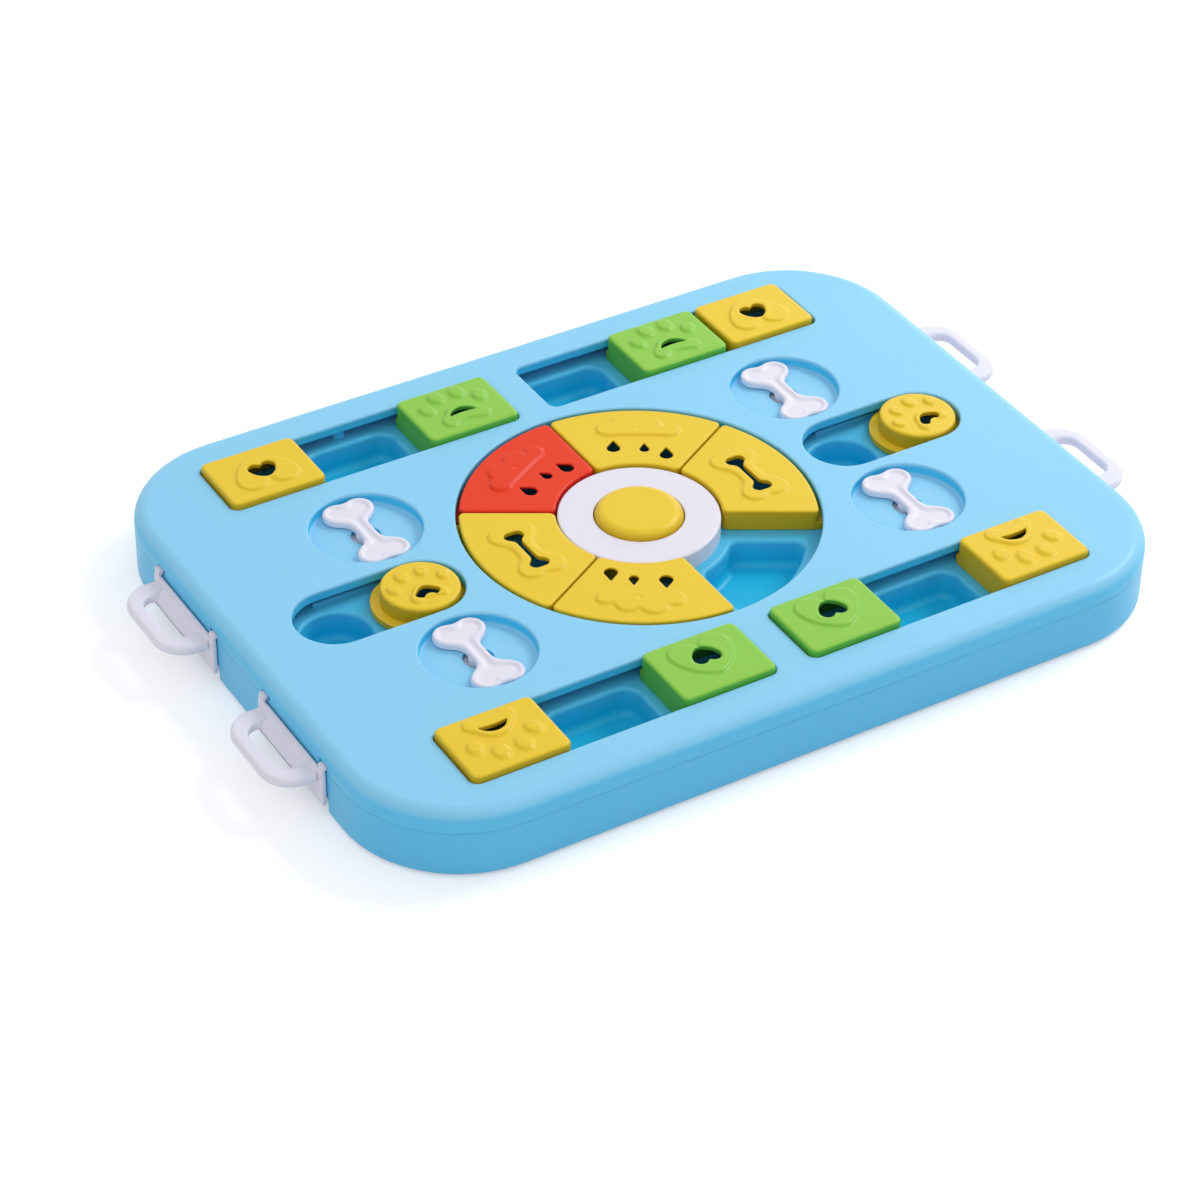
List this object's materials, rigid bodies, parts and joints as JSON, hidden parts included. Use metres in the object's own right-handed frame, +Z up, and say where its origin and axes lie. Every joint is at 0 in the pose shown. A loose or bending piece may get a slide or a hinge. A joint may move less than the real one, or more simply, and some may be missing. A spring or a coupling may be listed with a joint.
{
  "type": "dog puzzle feeder",
  "caption": "Dog puzzle feeder board: tray and cover with sliding paw and heart blocks, round pucks, turning wedges, spinning bones, a squeaker button and side latches",
  "frame": {"origin": "on the ground under the middle of the tray", "axes": "+Z up, +X along the long side, +Y across the board"},
  "size_m": [0.4228, 0.282, 0.0358],
  "materials": {
    "cover_blue": "satin moulded plastic",
    "tray_blue": "satin moulded plastic",
    "yellow": "satin moulded plastic",
    "green": "satin moulded plastic",
    "red": "satin moulded plastic",
    "white": "satin moulded plastic",
    "steel": "satin",
    "bulb_rubber": "matt",
    "foot_rubber": "matt"
  },
  "bodies": {
    "root": {"tray": "tray_blue", "hub_ring": "white", "ring_screws": "steel", "squeaker_bulb": "bulb_rubber", "squeaker_reed": "white", "latch_pins": "steel", "feet": "foot_rubber"},
    "cover": {"cover": "cover_blue"},
    "block_left_back_heart": {"block_left_back_heart": "yellow"},
    "block_left_back_paw": {"block_left_back_paw": "green"},
    "block_right_back_heart": {"block_right_back_heart": "yellow"},
    "block_right_back_paw": {"block_right_back_paw": "green"},
    "block_left_front_paw": {"block_left_front_paw": "yellow"},
    "block_left_front_heart": {"block_left_front_heart": "green"},
    "block_right_front_heart": {"block_right_front_heart": "green"},
    "block_right_front_paw": {"block_right_front_paw": "yellow"},
    "puck_left": {"puck_left": "yellow"},
    "puck_right": {"puck_right": "yellow"},
    "wedge_left": {"wedge_left": "yellow"},
    "wedge_red": {"wedge_red": "red"},
    "wedge_top": {"wedge_top": "yellow"},
    "wedge_right": {"wedge_right": "yellow"},
    "wedge_bottom": {"wedge_bottom": "yellow"},
    "squeaker_button": {"squeaker_button": "yellow"},
    "bone_left_back": {"bone_left_back": "white", "washer_left_back": "white", "screw_left_back": "steel"},
    "latch_left_back": {"latch_left_back": "white"},
    "bone_left_front": {"bone_left_front": "white", "washer_left_front": "white", "screw_left_front": "steel"},
    "latch_left_front": {"latch_left_front": "white"},
    "bone_right_back": {"bone_right_back": "white", "washer_right_back": "white", "screw_right_back": "steel"},
    "latch_right_back": {"latch_right_back": "white"},
    "bone_right_front": {"bone_right_front": "white", "washer_right_front": "white", "screw_right_front": "steel"},
    "latch_right_front": {"latch_right_front": "white"}
  },
  "joints": [
    {"name": "cover_lift", "type": "slide", "parent": "root", "child": "cover", "axis": [0, 0, 1], "range_m": [0, 0.02]},
    {"name": "block_left_back_heart_slide", "type": "slide", "parent": "root", "child": "block_left_back_heart", "axis": [1, 0, 0], "range_m": [0, 0.0491]},
    {"name": "block_left_back_paw_slide", "type": "slide", "parent": "root", "child": "block_left_back_paw", "axis": [1, 0, 0], "range_m": [-0.0491, 0]},
    {"name": "block_right_back_heart_slide", "type": "slide", "parent": "root", "child": "block_right_back_heart", "axis": [1, 0, 0], "range_m": [-0.0479, 0]},
    {"name": "block_right_back_paw_slide", "type": "slide", "parent": "root", "child": "block_right_back_paw", "axis": [1, 0, 0], "range_m": [-0.0479, 0]},
    {"name": "block_left_front_paw_slide", "type": "slide", "parent": "root", "child": "block_left_front_paw", "axis": [1, 0, 0], "range_m": [0, 0.0491]},
    {"name": "block_left_front_heart_slide", "type": "slide", "parent": "root", "child": "block_left_front_heart", "axis": [1, 0, 0], "range_m": [-0.0491, 0]},
    {"name": "block_right_front_heart_slide", "type": "slide", "parent": "root", "child": "block_right_front_heart", "axis": [1, 0, 0], "range_m": [0, 0.0491]},
    {"name": "block_right_front_paw_slide", "type": "slide", "parent": "root", "child": "block_right_front_paw", "axis": [1, 0, 0], "range_m": [-0.0491, 0]},
    {"name": "puck_left_slide", "type": "slide", "parent": "root", "child": "puck_left", "axis": [1, 0, 0], "range_m": [-0.0383, 0]},
    {"name": "puck_right_slide", "type": "slide", "parent": "root", "child": "puck_right", "axis": [1, 0, 0], "range_m": [-0.0383, 0]},
    {"name": "wedge_left_turn", "type": "hinge", "parent": "root", "child": "wedge_left", "pos_m": [0, 0, 0.022], "axis": [0, 0, 1], "range_deg": [-60, 0]},
    {"name": "wedge_red_turn", "type": "hinge", "parent": "root", "child": "wedge_red", "pos_m": [0, 0, 0.022], "axis": [0, 0, 1], "range_deg": [-60, 0]},
    {"name": "wedge_top_turn", "type": "hinge", "parent": "root", "child": "wedge_top", "pos_m": [0, 0, 0.022], "axis": [0, 0, 1], "range_deg": [-60, 0]},
    {"name": "wedge_right_turn", "type": "hinge", "parent": "root", "child": "wedge_right", "pos_m": [0, 0, 0.022], "axis": [0, 0, 1], "range_deg": [-60, 0]},
    {"name": "wedge_bottom_turn", "type": "hinge", "parent": "root", "child": "wedge_bottom", "pos_m": [0, 0, 0.022], "axis": [0, 0, 1], "range_deg": [0, 60]},
    {"name": "squeaker_button_press", "type": "slide", "parent": "root", "child": "squeaker_button", "axis": [0, 0, 1], "range_m": [-0.003, 0], "stiffness_N_per_m": 400, "deforming": ["squeaker_bulb"]},
    {"name": "bone_left_back_spin", "type": "hinge", "parent": "cover", "child": "bone_left_back", "pos_m": [-0.106, 0.0483, 0.0277], "axis": [0, 0, 1], "continuous": true},
    {"name": "latch_left_back_hinge", "type": "hinge", "parent": "root", "child": "latch_left_back", "pos_m": [-0.1876, 0.0483, 0.0078], "axis": [0, -1, 0], "range_deg": [0, 35]},
    {"name": "bone_left_front_spin", "type": "hinge", "parent": "cover", "child": "bone_left_front", "pos_m": [-0.106, -0.0483, 0.0277], "axis": [0, 0, 1], "continuous": true},
    {"name": "latch_left_front_hinge", "type": "hinge", "parent": "root", "child": "latch_left_front", "pos_m": [-0.1876, -0.0483, 0.0078], "axis": [0, -1, 0], "range_deg": [0, 35]},
    {"name": "bone_right_back_spin", "type": "hinge", "parent": "cover", "child": "bone_right_back", "pos_m": [0.106, 0.0483, 0.0277], "axis": [0, 0, 1], "continuous": true},
    {"name": "latch_right_back_hinge", "type": "hinge", "parent": "root", "child": "latch_right_back", "pos_m": [0.1876, 0.0483, 0.0078], "axis": [0, 1, 0], "range_deg": [0, 35]},
    {"name": "bone_right_front_spin", "type": "hinge", "parent": "cover", "child": "bone_right_front", "pos_m": [0.106, -0.0483, 0.0277], "axis": [0, 0, 1], "continuous": true},
    {"name": "latch_right_front_hinge", "type": "hinge", "parent": "root", "child": "latch_right_front", "pos_m": [0.1876, -0.0483, 0.0078], "axis": [0, 1, 0], "range_deg": [0, 35]}
  ],
  "couplings": [
    {"joint": "block_right_back_paw_slide", "follows": "block_right_back_heart_slide", "ratio": 1},
    {"joint": "wedge_red_turn", "follows": "wedge_left_turn", "ratio": 1},
    {"joint": "wedge_top_turn", "follows": "wedge_left_turn", "ratio": 1},
    {"joint": "wedge_right_turn", "follows": "wedge_left_turn", "ratio": 1},
    {"joint": "latch_left_back_hinge", "follows": "cover_lift", "rad_per_m": 30.54},
    {"joint": "latch_left_front_hinge", "follows": "cover_lift", "rad_per_m": 30.54},
    {"joint": "latch_right_back_hinge", "follows": "cover_lift", "rad_per_m": 30.54},
    {"joint": "latch_right_front_hinge", "follows": "cover_lift", "rad_per_m": 30.54}
  ]
}
